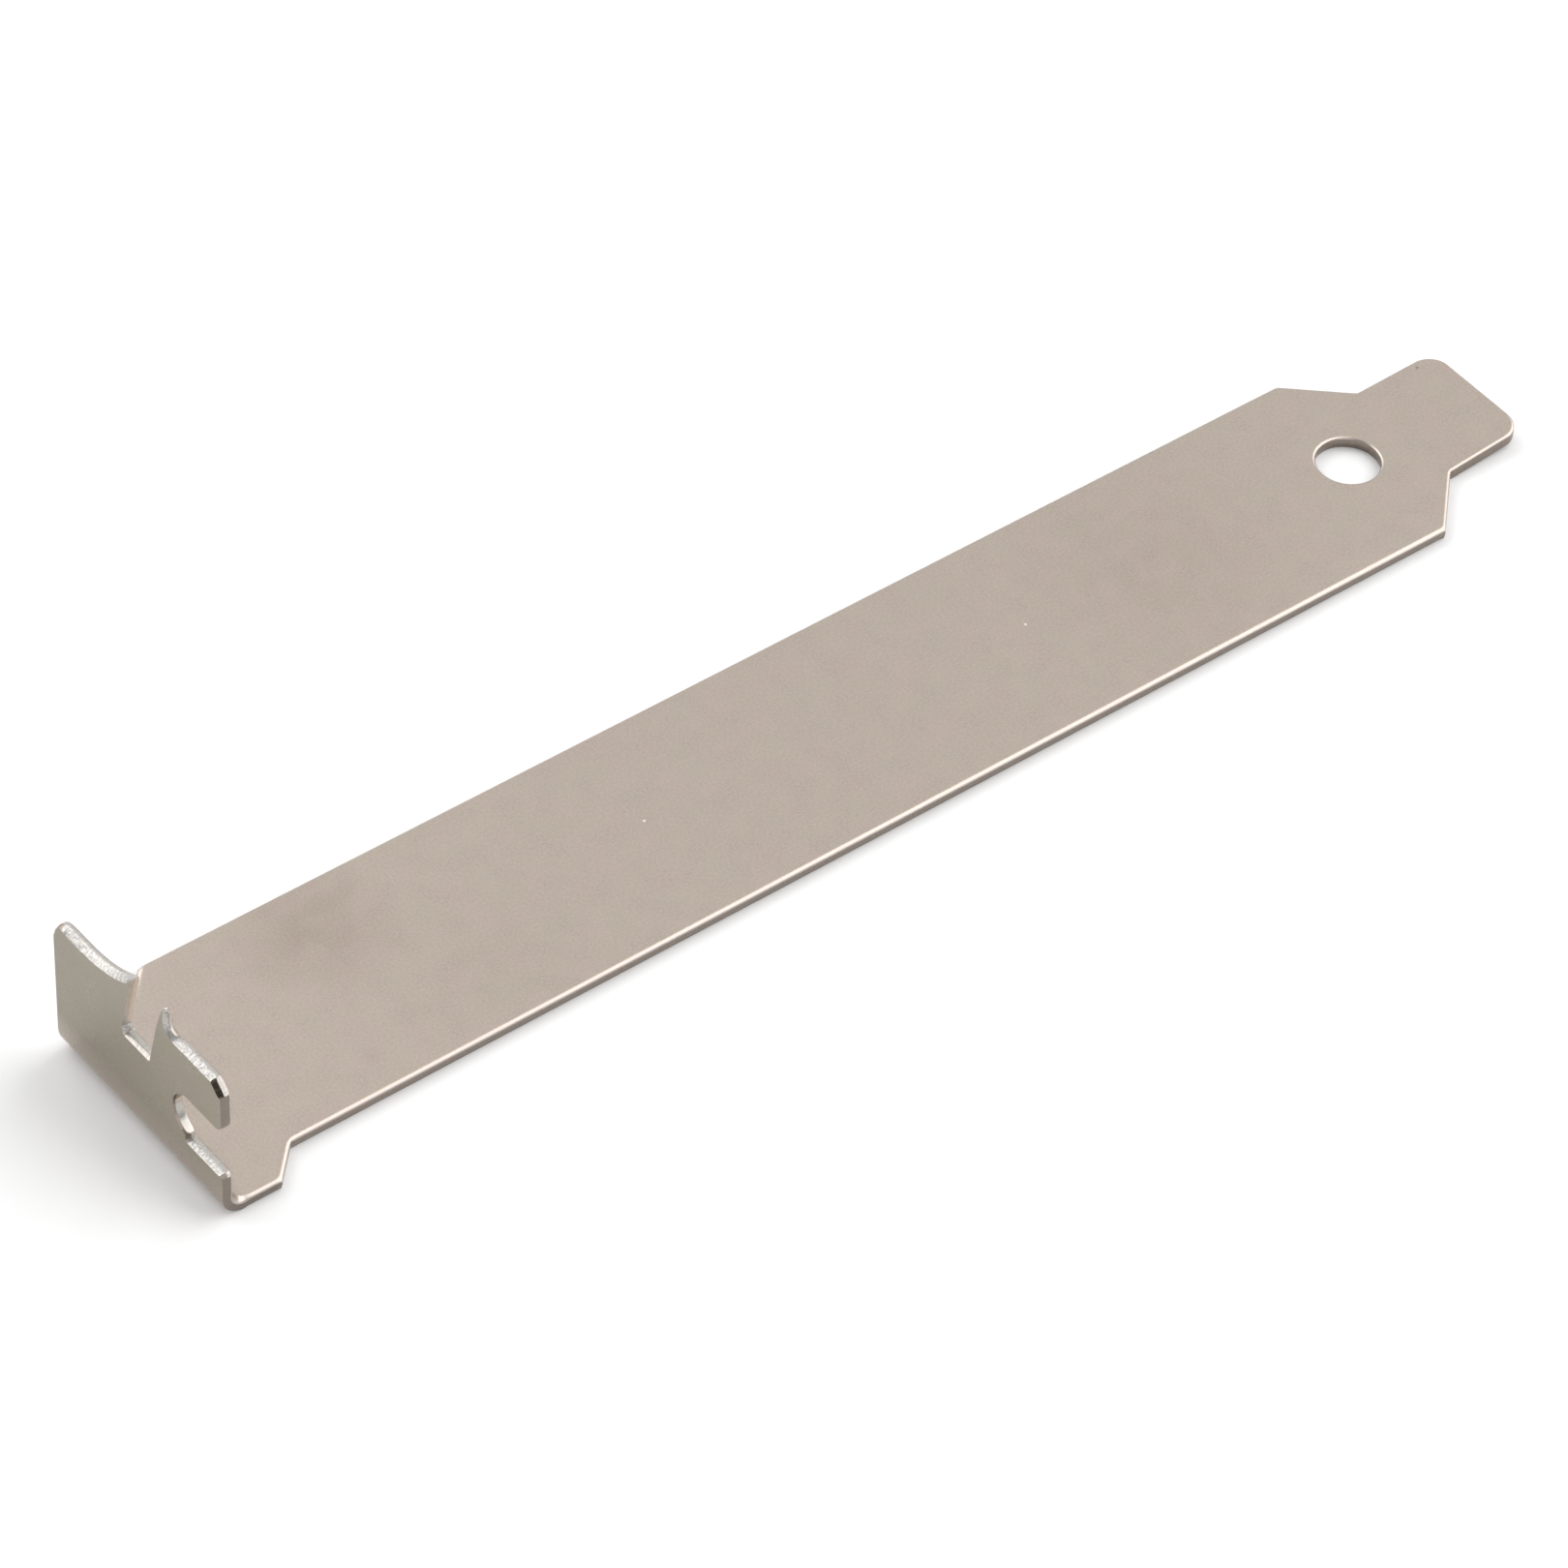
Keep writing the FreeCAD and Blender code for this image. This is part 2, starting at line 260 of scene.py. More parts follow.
# painted shade: the nose takes the darkest sheared finish
cut(bow(on_tab, (tab_near + nose, slot_top + nose), nose, 180, 270), 0.6, 0.04, "deep_shaded", "deep_shaded")
cut(straight(on_tab(tab_near + nose, slot_top), on_tab(end_centre[0], slot_top), tab_gap), 0.6, 0.04)
end_bow = bow(on_tab, end_centre, end_radius, 90, -low_turn)
# painted light and shade: the end's upper half takes a darker finish as painted shade, and its lower half,
# which faces up, the bright one
cut(end_bow[:len(end_bow) // 2], 0.72, 0.07, "deep_shaded", "deep_shaded")
cut(end_bow[len(end_bow) // 2:], 0.72, 0.07, "bright")
slot_corners = [(tab_near + mouth_end, mouth_low), (tab_near + mouth_end, lip_top),
                (tab_near + lip_cut, lip_top), (tab_near, lip_top - lip_cut)]
# painted shade: the darker torn finish on the slot's walls stands in for shade
slot_runs = [(0.07, "shaded"), (0.2, "pale"), (0.1, "shaded")]
for start, end, (tear, finish_and_shade) in zip(slot_corners, slot_corners[1:], slot_runs):
    cut(straight(on_tab(*start), on_tab(*end), tab_gap), 0.48, tear, "bright", finish_and_shade)

# the round hole, laid out the other way round
hole_x, hole_radius, hole_steps = 47.43, 2.4, 160
hole = []
for step in range(hole_steps):
    angle = 2 * math.pi * step / hole_steps
    across = tongue_offset - hole_radius * math.sin(angle)
    hole.append(on_strip(hole_x + hole_radius * math.cos(angle), across))
loops = [np.array(outline), np.array(hole)]
shorn_end = np.array(shorn_ends + [0.5] * hole_steps)
tear_back = np.array(tear_backs + [0.06] * hole_steps)
roll_share = np.array(roll_shares + [0.65] * hole_steps)
# painted shade: the hole's walls take a darker finish
hole_finishes_and_shades = [finishes_and_shades.index("shaded")] * hole_steps


# The rolled rim: the punch drags the upper face down into a rounded edge, deeper round a point and shallower
# in a corner. The amount follows how much metal there is round each place, weighed within about 0.2 mm, and
# the edge's own share of roll.
roll_width, roll_depth = 0.38, 0.2
weigh_reach = 0.2
least_roll, most_roll = 0.25, 3.6
roll_gain = 1.2
loop_starts = np.concatenate(loops)
loop_ends = np.concatenate([np.roll(loop, -1, axis=0) for loop in loops])
rim_count = len(loop_starts)
following = np.concatenate([np.roll(np.arange(len(loop)), -1) for loop in loops])
following[len(outline):] += len(outline)
batch = 1000


def nearest_edge(points):
    """Distance from each point to the outline, and the number of the nearest outline point."""
    distance, nearest = np.empty(len(points)), np.empty(len(points), int)
    span = loop_ends - loop_starts
    for first in range(0, len(points), batch):
        offset = points[first:first + batch, None] - loop_starts
        share = np.clip((offset * span).sum(2) / (span * span).sum(1), 0, 1)
        apart = np.hypot(*np.moveaxis(offset - share[..., None] * span, 2, 0))
        best = apart.argmin(1)
        rows = np.arange(len(best))
        distance[first:first + batch] = apart[rows, best]
        later = share[rows, best] > 0.5
        nearest[first:first + batch] = np.where(later, following[best], best)
    return distance, nearest


def inside(points):
    """Whether each point is on the metal, counting crossings of the outline."""
    crossings = np.zeros(len(points), int)
    for first in range(0, len(points), batch):
        x, y = points[first:first + batch, 0, None], points[first:first + batch, 1, None]
        (ax, ay), (bx, by) = loop_starts.T, loop_ends.T
        spans = (ay > y) != (by > y)
        meets = ax + (y - ay) * (bx - ax) / np.where(ay == by, 1, by - ay)
        crossings[first:first + batch] = (spans & (x < meets)).sum(1)
    return crossings % 2 == 1


edge_piece = 0.07
cell_size = 2


def metal_round(points):
    """Share of the neighbourhood of each point that is metal: a half at a straight edge."""
    pieces = np.maximum(1, np.ceil(np.hypot(*(loop_ends - loop_starts).T) / edge_piece).astype(int))
    which = np.repeat(np.arange(len(pieces)), pieces)
    step = (np.arange(len(which)) - np.repeat(np.cumsum(pieces) - pieces, pieces)) / pieces[which]
    span = (loop_ends - loop_starts)[which]
    starts = loop_starts[which] + span * step[:, None]
    ends = starts + span / pieces[which][:, None]
    cells = np.floor(points / cell_size).astype(int)
    margin = 5 * weigh_reach
    metal = np.ones(len(points))
    for cell in np.unique(cells, axis=0):
        here = (cells == cell).all(1)
        low, high = cell_size * cell - margin, cell_size * cell + cell_size + margin
        close = ((starts > low) & (starts < high)).all(1)
        a = starts[close] - points[here, None]
        b = ends[close] - points[here, None]
        turn = np.arctan2(a[..., 0] * b[..., 1] - a[..., 1] * b[..., 0], (a * b).sum(2))
        away = ((a + b) ** 2).sum(2) / 4
        metal[here] -= (turn * np.exp(-away / (2 * weigh_reach ** 2))).sum(1) / (2 * math.pi)
    return metal


ahead = loop_ends - loop_starts
ahead /= np.hypot(*ahead.T)[:, None]
behind = np.concatenate([np.roll(run, 1, axis=0) for run in np.split(ahead, [len(outline)])])
tangent = ahead + behind
tangent /= np.hypot(*tangent.T)[:, None]
inward = np.column_stack((-tangent[:, 1], tangent[:, 0]))

bend_row_gap, bend_row_count = 0.07, 4
tab_rows_end, strip_rows_end = -13.5, 118.0
across_start, across_end = -11.5, 9.2
fold_rows = [-fold_run * step / fold_steps for step in range(fold_steps + 1)]
tongue_rows = [tongue_root + bend_row_gap * step for step in range(bend_row_count)]


def spread(tab_row_gap, strip_row_start, strip_row_gap, across_gap):
    """Places in rows over the whole blank, with rows close together at the fold and at the tongue's bend."""
    tab_rows = list(np.arange(-fold_run - tab_row_gap, tab_rows_end, -tab_row_gap))
    strip_rows = list(np.arange(strip_row_start, strip_rows_end, strip_row_gap))
    rows = fold_rows + tongue_rows + tab_rows + strip_rows
    columns = np.arange(across_start, across_end, across_gap)
    return np.array([(along, across) for along in rows for across in columns])


# rings of points over the roll and just past it, then the grid, each clear of the rest of the edge
roll_angles = np.radians([80, 70, 60, 50, 40, 30, 20, 10, 0])
ring_depths = np.append(roll_width * (1 - np.sin(roll_angles)), [1.35 * roll_width, 2.1 * roll_width])
ring_clear, grid_clear = 0.97, 2.4
rings = []
for inset in ring_depths:
    ring = loop_starts + inward * inset
    distance, _ = nearest_edge(ring)
    rings.append(ring[inside(ring) & (distance > ring_clear * inset)])
grid = spread(0.6, 1.2, 1.5, 0.8)
distance, _ = nearest_edge(grid)
grid = grid[inside(grid) & (distance > grid_clear * roll_width)]
upper = np.concatenate([loop_starts, *rings, grid])

span_lengths = np.hypot(*(loop_ends - loop_starts).T)
perimeter = np.cumsum(span_lengths) - span_lengths
outline_length = perimeter[len(outline)]
on_outline = np.arange(rim_count) < len(outline)
apart_along = np.abs(perimeter[:, None] - perimeter)
apart_along = np.minimum(apart_along, np.abs(outline_length - apart_along))


def blended(amounts, reach):
    """An amount for each outline point, evened out along the edge within the reach."""
    same_loop = on_outline[:, None] == on_outline
    blend = np.exp(-apart_along ** 2 / (2 * reach ** 2)) * span_lengths * same_loop
    return (blend @ amounts) / blend.sum(1)


# how far in from a straight edge each share of metal would lie, and from that the roll's depth at each point
roll_blend, probe_in = 0.3, 0.002
normal_share = np.linspace(-3.2, 3.2, 400)
normal_table = np.array([(1 + math.erf(value / math.sqrt(2))) / 2 for value in normal_share])
probe = upper.copy()
probe[:rim_count] += inward * probe_in
reach_in = weigh_reach * np.interp(metal_round(probe), normal_table, normal_share)
distance, nearest = nearest_edge(upper)
rim_reach = reach_in[:rim_count]
rim_roll = (1 - roll_gain * rim_reach / weigh_reach) * blended(roll_share, roll_blend)
rim_roll = np.clip(rim_roll, least_roll, most_roll)
set_in = np.clip((reach_in - rim_reach[nearest]) / (roll_width * rim_roll[nearest]), 0, 1)
depth = roll_depth * rim_roll[nearest] * (1 - np.sqrt(1 - (1 - set_in) ** 2))
depth[:rim_count] = roll_depth * rim_roll


weld = 1e-7


def filled(points):
    """Triangles that fill the outline and leave the hole open.

    The rim's points come first, with the hole's as the last of them.
    """
    places = [Vector(point) for point in points]
    edges = list(zip(range(rim_count), following.tolist()))
    made_points, _, made_faces, sources, _, _ = delaunay_2d_cdt(places, edges, [], 1, weld)
    assert len(made_points) == len(points)
    made = np.array([ids[0] for ids in sources])[np.array(made_faces)]
    over_hole = ((made >= len(outline)) & (made < rim_count)).all(1)
    return made[~over_hole]


triangles = filled(upper)


# The cut edge: a smooth band that the punch sheared, then torn metal that steps back to a sharp lower edge.
# The tear runs back furthest over the tab's top edges, where it is coarse and scaly.
least_shorn = 0.05
edge_blend = 0.12
shorn_end, tear_back = blended(shorn_end, edge_blend), blended(tear_back, edge_blend)
rim_depth = roll_depth * rim_roll
shorn_end = np.maximum(shorn_end, rim_depth + least_shorn)

# in a corner the tears from both sides would meet, so they are eased there until they are clear
easings, ease, clear_by = 30, 0.88, 0.001
corner_share = (ahead * tangent).sum(1)
for _ in range(easings):
    distance, _ = nearest_edge(loop_starts + inward * tear_back[:, None])
    tear_back[distance < corner_share * tear_back - clear_by] *= ease

shorn_shares = [0.5, 1.0]
torn_shares = [0.14, 0.32, 0.52, 0.76, 1.0]
scale_depth, scaly_from, scaly_over = 0.035, 0.08, 0.1
scaly = np.clip((tear_back - scaly_from) / scaly_over, 0, 1)
chance = np.random.default_rng(11)
flat = [np.column_stack((upper, depth))]
for share in shorn_shares:
    flat.append(np.column_stack((loop_starts, rim_depth + (shorn_end - rim_depth) * share)))
for share in torn_shares:
    scales = scale_depth * scaly * chance.random(rim_count) * (share < 1)
    set_back = np.maximum(0, tear_back * share - scales)
    level = shorn_end + (sheet - shorn_end) * share
    flat.append(np.column_stack((loop_starts + inward * set_back[:, None], level)))
wall_levels = len(flat) - 1

lower_clear = 0.5
lower = spread(1.5, 3.0, 3.0, 2.0)
distance, _ = nearest_edge(lower)
lower = lower[inside(lower) & (distance > lower_clear)]
lower_flat = np.concatenate([flat[-1][:, :2], lower])
flat.append(np.column_stack((lower, np.full(len(lower), sheet))))
under = filled(lower_flat)[:, ::-1] + len(upper) + rim_count * (wall_levels - 1)

wall = []
for band in range(wall_levels):
    top = 0 if band == 0 else len(upper) + rim_count * (band - 1)
    low = len(upper) + rim_count * band
    for number, after in enumerate(following.tolist()):
        wall.append((top + number, low + number, low + after, top + after))


# The folded sheet: the press brake folds the tab up round a 1 mm nose, and sets the tongue up a little over a
# soft bend. This is the whole cover, one piece of steel.
bend_inside = 3.0
bend_neutral = bend_inside + 0.5 * sheet


def folded(places):
    """Flat places, with their depth below the upper face, moved to where the folds put them, in metres."""
    along, across, below = places.T
    turn = np.clip(-along / fold_neutral, 0, fold_turn)
    past = np.maximum(0, -along - fold_run)
    radius = fold_inside + below
    x = fold_end_x - radius * np.sin(turn) - past * math.sin(tab_lean) + np.clip(along, 0, tongue_root)
    z = fold_outside - radius * np.cos(turn) + past * math.cos(tab_lean)
    up = np.clip((along - tongue_root) / bend_neutral, 0, tongue_turn)
    out = np.maximum(0, along - tongue_root - bend_neutral * tongue_turn)
    x += (bend_inside + below) * np.sin(up) + out * math.cos(tongue_turn)
    z += (bend_inside + below) * (1 - np.cos(up)) + out * math.sin(tongue_turn)
    return np.column_stack((x, across, z)) * 0.001


flat = np.concatenate(flat)
faces = triangles.tolist() + wall + under.tolist()
mesh = bpy.data.meshes.new("folded_sheet")
mesh.from_pydata(folded(flat).tolist(), [], faces)
mesh.update()
mesh.polygons.foreach_set("use_smooth", [True] * len(faces))
# each face's material: its finish, and on the darker walls painted shade
face_finish_and_shade = np.zeros(len(faces), int)
sheared_bands = (sheared_finishes_and_shades + hole_finishes_and_shades) * len(shorn_shares)
torn_bands = (torn_finishes_and_shades + hole_finishes_and_shades) * len(torn_shares)
face_finish_and_shade[len(triangles):len(triangles) + len(wall)] = sheared_bands + torn_bands
mesh.polygons.foreach_set("material_index", face_finish_and_shade)

# creases, and the line along which the smooth band ends
crease_angle = math.radians(38)
mesh.set_sharp_from_angle(angle=crease_angle)
tear_line = range(len(upper) + rim_count, len(upper) + 2 * rim_count)
for edge in mesh.edges:
    if edge.vertices[0] in tear_line and edge.vertices[1] in tear_line:
        edge.use_edge_sharp = True

# where each part of the surface lay on the flat sheet; on the cut edge, how far round it and how deep
# The last span of each loop ends on its first point, so it is mapped as a short one.
map_scale = 0.01
last_span = 0.05
sheet_map = mesh.uv_layers.new(name="sheet")
corner_points = np.array([loop.vertex_index for loop in mesh.loops])
spots = flat[corner_points, :2]
wall_corners = slice(3 * len(triangles), 3 * len(triangles) + 4 * len(wall))
wall_points = corner_points[wall_corners]
rim_number = np.where(wall_points < rim_count, wall_points, (wall_points - len(upper)) % rim_count)
round_here = perimeter[rim_number].reshape(-1, 4)
before, after = round_here[:, :2], round_here[:, 2:]
round_here[:, 2:] = np.where(after < before, before + last_span, after)
spots[wall_corners] = np.column_stack((round_here.ravel(), flat[wall_points, 2]))
sheet_map.data.foreach_set("uv", (spots * map_scale).ravel())
depth_map = mesh.uv_layers.new(name="depth")
depths = np.column_stack((flat[corner_points, 2], np.zeros(len(mesh.loops))))
depth_map.data.foreach_set("uv", depths.ravel())

cover = bpy.data.objects.new("folded_sheet", mesh)
bpy.context.scene.collection.objects.link(cover)
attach(cover, "root")
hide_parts("slot_cover")


# The finish is nickel, barrel-plated thinly over the steel, so the sheet's fine grain shows through it in
# faint warm and olive patches, and the rolled rims are rubbed paler. The sheared metal is finely streaked and
# the torn metal is pale and scaly. Darker copies of both are painted shade on walls that face away from the
# light, near black at the cut corner, and the tab's darker, greener tone is painted shade too.
skin_tone = (0.49, 0.422, 0.37)
worn_tone = (0.475, 0.425, 0.4)
bright_tone = (0.475, 0.45, 0.42)
# painted shade: the next three tones are darker copies of the cut metal, for walls that face away from the
# light
shaded_tone = (0.272, 0.228, 0.195)
deep_shaded_tone = (0.215, 0.182, 0.155)
black_shaded_tone = (0.085, 0.07, 0.058)
pale_tone = (0.485, 0.467, 0.445)


def nickel(name, roughness):
    """A metal material, with its tree, its shader and the place on the flat sheet."""
    material = bpy.data.materials.new(name)
    material.use_nodes = True
    tree = material.node_tree
    shader = tree.nodes["Principled BSDF"]
    shader.inputs["Metallic"].default_value = 1.0
    shader.inputs["Roughness"].default_value = roughness
    flat_place = tree.nodes.new("ShaderNodeUVMap")
    flat_place.uv_map = "sheet"
    mesh.materials.append(material)
    return tree, shader, flat_place.outputs["UV"]


def grain(tree, flat_place, length, height, detail):
    """A cloudy pattern about 0.5, in patches of the size given in millimetres."""
    scale = tree.nodes.new("ShaderNodeVectorMath")
    scale.operation = "MULTIPLY"
    scale.inputs[1].default_value = (1 / (map_scale * length), 1 / (map_scale * height), 1)
    clouds = tree.nodes.new("ShaderNodeTexNoise")
    clouds.noise_dimensions = "2D"
    clouds.inputs["Scale"].default_value = 1.0
    clouds.inputs["Detail"].default_value = detail
    tree.links.new(flat_place, scale.inputs[0])
    tree.links.new(scale.outputs["Vector"], clouds.inputs["Vector"])
    return clouds.outputs["Fac"]


def toned(tree, amount, low, high, low_colour, high_colour):
    """A colour that goes from one tone to another as the amount goes from low to high."""
    ramp = tree.nodes.new("ShaderNodeValToRGB")
    for stop, place, colour in zip(ramp.color_ramp.elements, (low, high), (low_colour, high_colour)):
        stop.position, stop.color = place, (*colour, 1)
    tree.links.new(amount, ramp.inputs["Fac"])
    return ramp.outputs["Color"]


def mixed(tree, kind, share, first, second):
    """Two colours mixed or multiplied. The share and the colours are plain values or outputs of nodes."""
    mix = tree.nodes.new("ShaderNodeMix")
    mix.data_type, mix.blend_type = "RGBA", kind
    for value, socket in zip((share, first, second), (mix.inputs[0], mix.inputs[6], mix.inputs[7])):
        if isinstance(value, bpy.types.NodeSocket):
            tree.links.new(value, socket)
        else:
            socket.default_value = value
    return mix.outputs[2]


def ranged(tree, amount, low, high, low_result, high_result):
    """An amount stretched from one range to another."""
    stretch = tree.nodes.new("ShaderNodeMapRange")
    names = ("From Min", "From Max", "To Min", "To Max")
    for name, value in zip(names, (low, high, low_result, high_result)):
        stretch.inputs[name].default_value = value
    tree.links.new(amount, stretch.inputs["Value"])
    return stretch.outputs["Result"]


def uneven(tree, shader, height, step):
    """Bumps in the surface, as high as the step in metres where the pattern goes from 0 to 1."""
    bump = tree.nodes.new("ShaderNodeBump")
    bump.inputs["Strength"].default_value = 1.0
    bump.inputs["Distance"].default_value = step
    tree.links.new(height, bump.inputs["Height"])
    tree.links.new(bump.outputs["Normal"], shader.inputs["Normal"])


def shade(colour, share):
    """A colour made lighter or darker by the share."""
    return tuple(part * share for part in colour)


# the sheet's own surface, with the rolling's fine speckle and the plating's patches
tree, shader, flat_place = nickel("nickel_skin", 0.28)
speckle = grain(tree, flat_place, 0.2, 0.2, 1)
patches = grain(tree, flat_place, 2.6, 2.6, 2)
olive, warm = (0.975, 0.995, 0.965), (1.0, 0.975, 0.985)
skin = toned(tree, speckle, 0.25, 0.75, shade(skin_tone, 0.945), shade(skin_tone, 1.055))
skin = mixed(tree, "MULTIPLY", 1.0, skin, toned(tree, patches, 0.2, 0.8, olive, warm))

# painted shade: the tab is made darker and a little greener, standing in for the shaded floor that its face
# reflects; it is darker still near its top and towards its far side
tab_painted_shade, high_painted_shade, far_painted_shade = (0.74, 0.765, 0.69, 1), (0.95, 0.95, 0.95, 1), (0.74, 0.74, 0.74, 1)
sheet_place = tree.nodes.new("ShaderNodeSeparateXYZ")
tree.links.new(flat_place, sheet_place.inputs["Vector"])
place_along, place_across = sheet_place.outputs["X"], sheet_place.outputs["Y"]
on_the_tab = ranged(tree, place_along, -1 * map_scale, -4 * map_scale, 0, 1)
high_share = ranged(tree, place_along, -5 * map_scale, -12 * map_scale, 0, 1)
far_share = ranged(tree, place_across, -6 * map_scale, 7 * map_scale, 0, 1)
skin = mixed(tree, "MULTIPLY", on_the_tab, skin, tab_painted_shade)
skin = mixed(tree, "MULTIPLY", high_share, skin, high_painted_shade)
skin = mixed(tree, "MULTIPLY", mixed(tree, "MULTIPLY", 1.0, on_the_tab, far_share), skin, far_painted_shade)


def round_mark(x, across, radius, solid_share):
    """How strongly a round mark shows: fully up to the solid share of its radius, and not past the radius."""
    away = tree.nodes.new("ShaderNodeVectorMath")
    away.operation = "DISTANCE"
    away.inputs[1].default_value = (*np.multiply(on_strip(x, across), map_scale), 0)
    tree.links.new(flat_place, away.inputs[0])
    outer = map_scale * radius
    return ranged(tree, away.outputs["Value"], outer, solid_share * outer, 0, 1)


# faint smudges and three small specks, each with its place, radius and tone
smudges = [(-40.6, 5.6, 6.8, (0.865, 0.845, 0.835, 1)), (29.0, 0.0, 12.0, (0.955, 0.94, 0.94, 1)),
           (-44.1, -6.2, 1.0, (0.93, 0.93, 0.93, 1)), (-33.0, -4.0, 9.0, (0.975, 0.975, 0.97, 1))]
smear = ranged(tree, grain(tree, flat_place, 3.2, 2.2, 3), 0.3, 0.6, 0.6, 1)
for x, across, radius, colour in smudges:
    smudge = mixed(tree, "MULTIPLY", 1.0, smear, round_mark(x, across, radius, 0.2))
    skin = mixed(tree, "MULTIPLY", smudge, skin, colour)
specks = [(-16.25, 0.66, 0.13, (0.9, 0.88, 0.85, 1)), (17.42, 0.56, 0.13, (0.85, 0.83, 0.8, 1)),
          (58.0, 4.66, 0.16, (0.3, 0.26, 0.22, 1))]
for x, across, radius, colour in specks:
    skin = mixed(tree, "MIX", round_mark(x, across, radius, 0.5), skin, colour)

# the rolled rim, from just below the flat face down, but not the underside
rub_start, rub_full, rub_fade, rub_end = 0.01, 0.07, 0.8, 0.85
surface_depth = tree.nodes.new("ShaderNodeUVMap")
surface_depth.uv_map = "depth"
depth_place = tree.nodes.new("ShaderNodeSeparateXYZ")
tree.links.new(surface_depth.outputs["UV"], depth_place.inputs["Vector"])
below_face = ranged(tree, depth_place.outputs["X"], rub_start, rub_full, 0, 1)
above_underside = ranged(tree, depth_place.outputs["X"], rub_end, rub_fade, 0, 1)
on_the_roll = mixed(tree, "MULTIPLY", 1.0, below_face, above_underside)
rub_marks = ranged(tree, grain(tree, flat_place, 0.6, 0.6, 2), 0.35, 0.6, 0.5, 1)
rubbed = mixed(tree, "MULTIPLY", 1.0, on_the_roll, rub_marks)
skin = mixed(tree, "MIX", rubbed, skin, (*worn_tone, 1))
tree.links.new(skin, shader.inputs["Base Color"])
skin_roughness = ranged(tree, grain(tree, flat_place, 1.9, 1.9, 2), 0.3, 0.7, 0.27, 0.3)
tree.links.new(skin_roughness, shader.inputs["Roughness"])
uneven(tree, shader, patches, 0.000008)


def streaked(name, tone):
    """Sheared metal, finely streaked the way the punch went."""
    tree, shader, flat_place = nickel(name, 0.3)
    streaks = grain(tree, flat_place, 0.14, 1.6, 2)
    colour = toned(tree, streaks, 0.3, 0.7, shade(tone, 0.94), shade(tone, 1.06))
    tree.links.new(colour, shader.inputs["Base Color"])
    tree.links.new(ranged(tree, streaks, 0.3, 0.7, 0.27, 0.34), shader.inputs["Roughness"])
    uneven(tree, shader, streaks, 0.00001)


streaked("nickel_bright", bright_tone)
# painted shade: a darker copy of the sheared metal
streaked("nickel_painted_shade", shaded_tone)

# torn metal, in small pale scales
tree, shader, flat_place = nickel("nickel_pale", 0.4)
scales = grain(tree, flat_place, 0.17, 0.17, 2)
scaled = toned(tree, scales, 0.35, 0.6, shade(pale_tone, 0.82), shade(pale_tone, 1.08))
tree.links.new(scaled, shader.inputs["Base Color"])
tree.links.new(ranged(tree, scales, 0.3, 0.7, 0.45, 0.32), shader.inputs["Roughness"])
uneven(tree, shader, scales, 0.00002)

# painted shade: two darker copies of the sheared metal, the second near black
streaked("nickel_painted_deep_shade", deep_shaded_tone)
streaked("steel_painted_black_shade", black_shaded_tone)


# The stage is a large sheet of matt white paper, which is no part of the cover. It lies 0.05 mm below the
# cover, so that the two faces don't meet.
paper_tone = (0.82, 0.82, 0.82, 1)
bpy.ops.mesh.primitive_plane_add(size=8, location=(0, 0, -0.00005))
floor = bpy.context.object
floor.name = "floor"
paper = bpy.data.materials.new("white_paper")
paper.use_nodes = True
paper_shader = paper.node_tree.nodes["Principled BSDF"]
paper_shader.inputs["Base Color"].default_value = paper_tone
paper_shader.inputs["Roughness"].default_value = 0.9
floor.data.materials.append(paper)
floor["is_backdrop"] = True


# The light comes from three soft rectangular panels: over the tongue's end, behind the cover, and in front of
# it to the tab's side. The room is pale behind the cover and low down, and dark round the camera.
panel_distance = 2.0


def softbox(name, direction, long_axis, long_half_angle, short_half_angle, radiance):
    """A soft rectangular light two metres off that faces the cover. Its half angles are in degrees."""
    long_side = 2 * panel_distance * math.tan(math.radians(long_half_angle))
    short_side = 2 * panel_distance * math.tan(math.radians(short_half_angle))
    light = bpy.data.lights.new(name, "AREA")
    light.shape = "RECTANGLE"
    light.size, light.size_y = long_side, short_side
    light.energy = radiance * math.pi * long_side * short_side
    outward = Vector(direction).normalized()
    sideways = Vector(long_axis)
    sideways = (sideways - sideways.dot(outward) * outward).normalized()
    panel = bpy.data.objects.new(name, light)
    facing = Matrix((sideways, outward.cross(sideways), outward)).transposed().to_4x4()
    panel.matrix_world = Matrix.Translation(outward * panel_distance) @ facing
    bpy.context.scene.collection.objects.link(panel)


softbox("right_softbox", (0.68, -0.3, 0.67), (0, 0.92, 0.39), 36, 32, 1.9)
softbox("rear_softbox", (-0.28, 0.76, 0.58), (1, 0, 0), 31, 24, 1.6)
softbox("front_softbox", (-0.33, -0.75, 0.58), (0, 0.61, 0.79), 27, 20, 1.4)

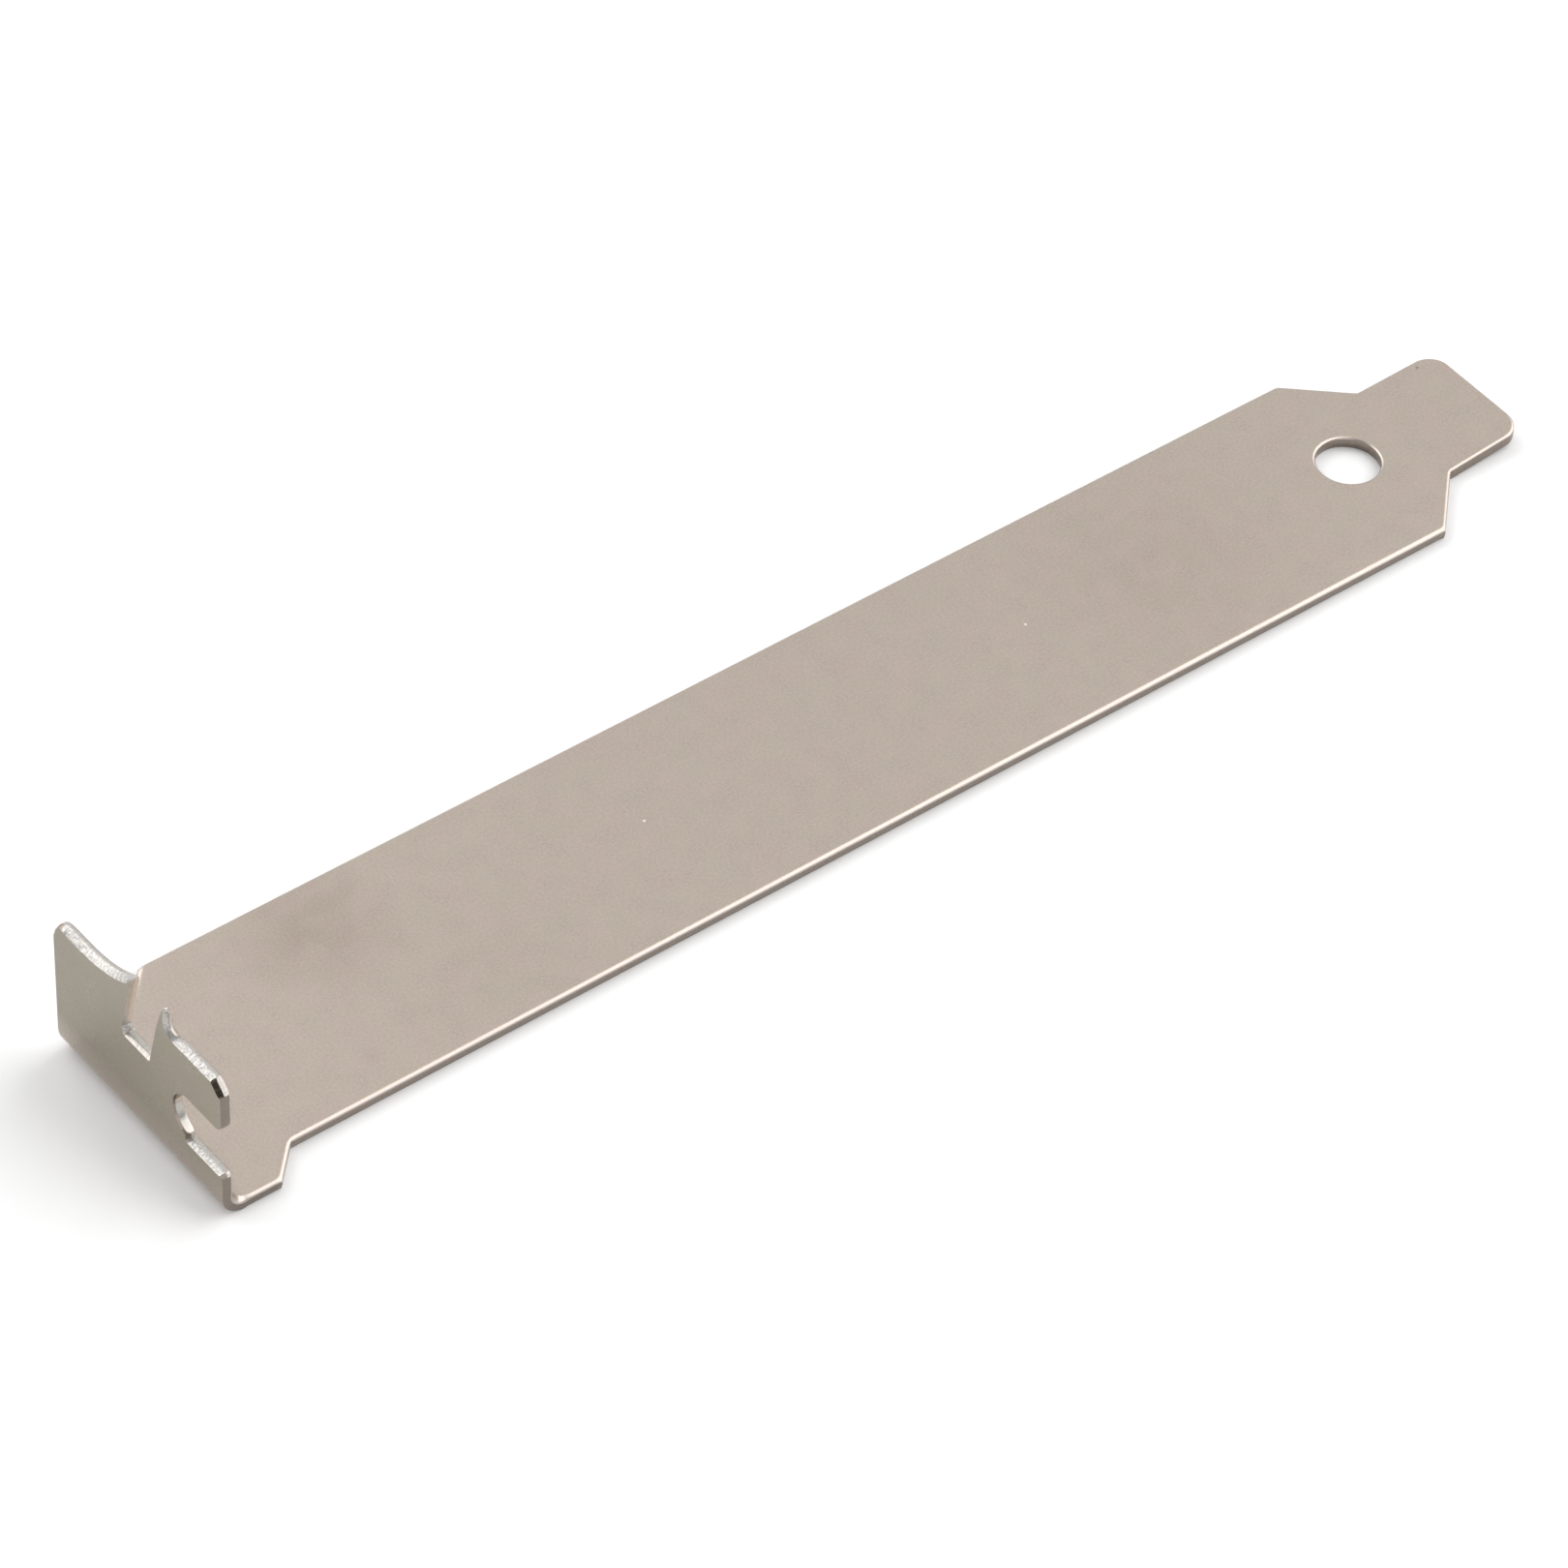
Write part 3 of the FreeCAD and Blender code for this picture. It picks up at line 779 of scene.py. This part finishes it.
world = bpy.data.worlds.new("room")
world.use_nodes = True
tree = world.node_tree
direction = tree.nodes.new("ShaderNodeTexCoord").outputs["Generated"]


def towards(aim):
    """How much the direction of view points the way given."""
    product = tree.nodes.new("ShaderNodeVectorMath")
    product.operation = "DOT_PRODUCT"
    product.inputs[1].default_value = Vector(aim).normalized()
    tree.links.new(direction, product.inputs[0])
    return product.outputs["Value"]


dark_side, pale_side, low_tone = (0.15, 0.15, 0.15), (0.93, 0.93, 0.93), (0.75, 0.75, 0.75, 1)
behind_share = ranged(tree, towards((0.25, 0.9, 0.35)), -0.4, 0.85, 0, 1)
room = toned(tree, behind_share, 0, 1, dark_side, pale_side)
low_share = ranged(tree, towards((0.0, 0.0, 1.0)), 0.3, 0.1, 0, 1)
room = mixed(tree, "LIGHTEN", low_share, room, low_tone)
tree.links.new(room, tree.nodes["Background"].inputs["Color"])
bpy.context.scene.world = world


# The camera stands about half a metre off, at the photograph's angle and with its long lens. Both were fitted
# to the corners and edges that the photograph shows, which is 1620 pixels wide.
azimuth, elevation, roll_angle = math.radians(-41.641), math.radians(44.79), math.radians(-4.516)
photo_width, focal_pixels = 1620, 7764.918
aside, lowered, away = 3.576, -3.112, 518.105
level_reach = math.cos(elevation)
back = Vector((math.sin(azimuth) * level_reach, -math.cos(azimuth) * level_reach, math.sin(elevation)))
forward = -back
right = Vector((math.cos(azimuth), math.sin(azimuth), 0))
down = forward.cross(right)
right, down = (math.cos(roll_angle) * right + math.sin(roll_angle) * down,
               -math.sin(roll_angle) * right + math.cos(roll_angle) * down)
lens = bpy.data.cameras.new("camera")
lens.sensor_width = 36
lens.lens = focal_pixels / photo_width * lens.sensor_width
camera = bpy.data.objects.new("camera", lens)
place = (aside * right + lowered * down + away * forward) * -0.001
camera.matrix_world = Matrix.Translation(place) @ Matrix((right, -down, back)).transposed().to_4x4()
bpy.context.scene.collection.objects.link(camera)
bpy.context.scene.camera = camera
bpy.context.scene.view_settings.view_transform = "Standard"

low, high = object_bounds()
